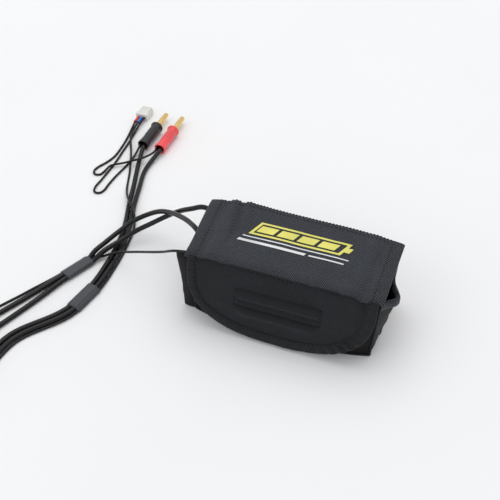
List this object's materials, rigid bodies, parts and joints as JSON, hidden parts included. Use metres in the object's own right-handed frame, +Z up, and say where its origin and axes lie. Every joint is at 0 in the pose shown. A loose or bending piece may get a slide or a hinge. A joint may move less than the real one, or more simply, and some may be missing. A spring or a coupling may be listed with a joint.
{
  "type": "lipo battery pack in charging bag",
  "caption": "Two-cell hard-case lithium-polymer pack in a woven nylon charging bag with a hinged lid and hook-and-loop flap, with charging leads and plugs.",
  "frame": {"origin": "on the surface that the bag stands on, under the middle of the bag", "axes": "+X along the bag towards its right end, the flap faces -Y, +Z up"},
  "size_m": [0.2664, 0.3343, 0.0521],
  "materials": {
    "bottom_panel": "woven nylon",
    "back_panel": "woven nylon",
    "front_panel": "woven nylon",
    "left_gusset": "woven nylon",
    "right_gusset": "woven nylon",
    "gusset_hems": "folded and stitched nylon",
    "fire_liner": "silver-coated glass cloth",
    "loop_strip": "loop pile",
    "lid_panel": "woven nylon",
    "lid_hem_left": "folded and stitched nylon",
    "lid_hem_right": "folded and stitched nylon",
    "lid_print": "screen print",
    "flap_panel": "woven nylon",
    "flap_binding": "ribbed binding tape",
    "hook_strip": "moulded hooks",
    "case_tray": "moulded",
    "case_cover": "moulded",
    "cell_1": "laminated foil pouch",
    "cell_2": "laminated foil pouch",
    "cell_tabs": "nickel-plated",
    "foam_pads": "foam",
    "balance_board": "glass-fibre board",
    "bus_bars": "nickel-plated",
    "positive_socket": "gold-plated",
    "negative_socket": "gold-plated",
    "balance_socket": "gold-plated",
    "pack_label": "printed film",
    "positive_bullet": "gold-plated",
    "negative_bullet": "gold-plated",
    "balance_pin": "gold-plated",
    "positive_boot": "moulded",
    "negative_boot": "moulded",
    "balance_boot": "moulded",
    "positive_lead": "silicone",
    "negative_lead": "silicone",
    "balance_lead": "silicone",
    "pack_end_sleeve": "heat-shrink",
    "charger_end_sleeve": "heat-shrink",
    "positive_plug_grip": "moulded",
    "positive_plug_pin": "gold-plated",
    "negative_plug_grip": "moulded",
    "negative_plug_pin": "gold-plated",
    "positive_tap_wire": "silicone",
    "negative_tap_wire": "silicone",
    "balance_connector": "moulded nylon",
    "connector_contacts": "tin-plated",
    "marker_sleeve_red": "heat-shrink",
    "marker_sleeve_blue": "heat-shrink"
  },
  "bodies": {
    "bag": {"bottom_panel": "bottom_panel", "back_panel": "back_panel", "front_panel": "front_panel", "left_gusset": "left_gusset", "right_gusset": "right_gusset", "gusset_hems": "gusset_hems", "fire_liner": "fire_liner", "loop_strip": "loop_strip", "case_tray": "case_tray", "case_cover": "case_cover", "cell_1": "cell_1", "cell_2": "cell_2", "cell_tabs": "cell_tabs", "foam_pads": "foam_pads", "balance_board": "balance_board", "bus_bars": "bus_bars", "positive_socket": "positive_socket", "negative_socket": "negative_socket", "balance_socket": "balance_socket", "pack_label": "pack_label", "positive_bullet": "positive_bullet", "negative_bullet": "negative_bullet", "balance_pin": "balance_pin", "positive_boot": "positive_boot", "negative_boot": "negative_boot", "balance_boot": "balance_boot", "positive_lead": "positive_lead", "negative_lead": "negative_lead", "balance_lead": "balance_lead", "pack_end_sleeve": "pack_end_sleeve", "charger_end_sleeve": "charger_end_sleeve", "positive_plug_grip": "positive_plug_grip", "positive_plug_pin": "positive_plug_pin", "negative_plug_grip": "negative_plug_grip", "negative_plug_pin": "negative_plug_pin", "positive_tap_wire": "positive_tap_wire", "negative_tap_wire": "negative_tap_wire", "balance_connector": "balance_connector", "connector_contacts": "connector_contacts", "marker_sleeve_red": "marker_sleeve_red", "marker_sleeve_blue": "marker_sleeve_blue"},
    "lid": {"lid_panel": "lid_panel", "lid_hem_left": "lid_hem_left", "lid_hem_right": "lid_hem_right", "lid_print": "lid_print"},
    "flap": {"flap_panel": "flap_panel", "flap_binding": "flap_binding", "hook_strip": "hook_strip"}
  },
  "joints": [
    {"name": "lid_hinge", "type": "hinge", "parent": "bag", "child": "lid", "pos_m": [0, 0.0253, 0.04985], "axis": [-1, 0, 0], "range_deg": [0, 180]},
    {"name": "flap_fold", "type": "hinge", "parent": "lid", "child": "flap", "pos_m": [0, -0.0267, 0.0499], "axis": [-1, 0, 0], "range_deg": [0, 150]}
  ]
}
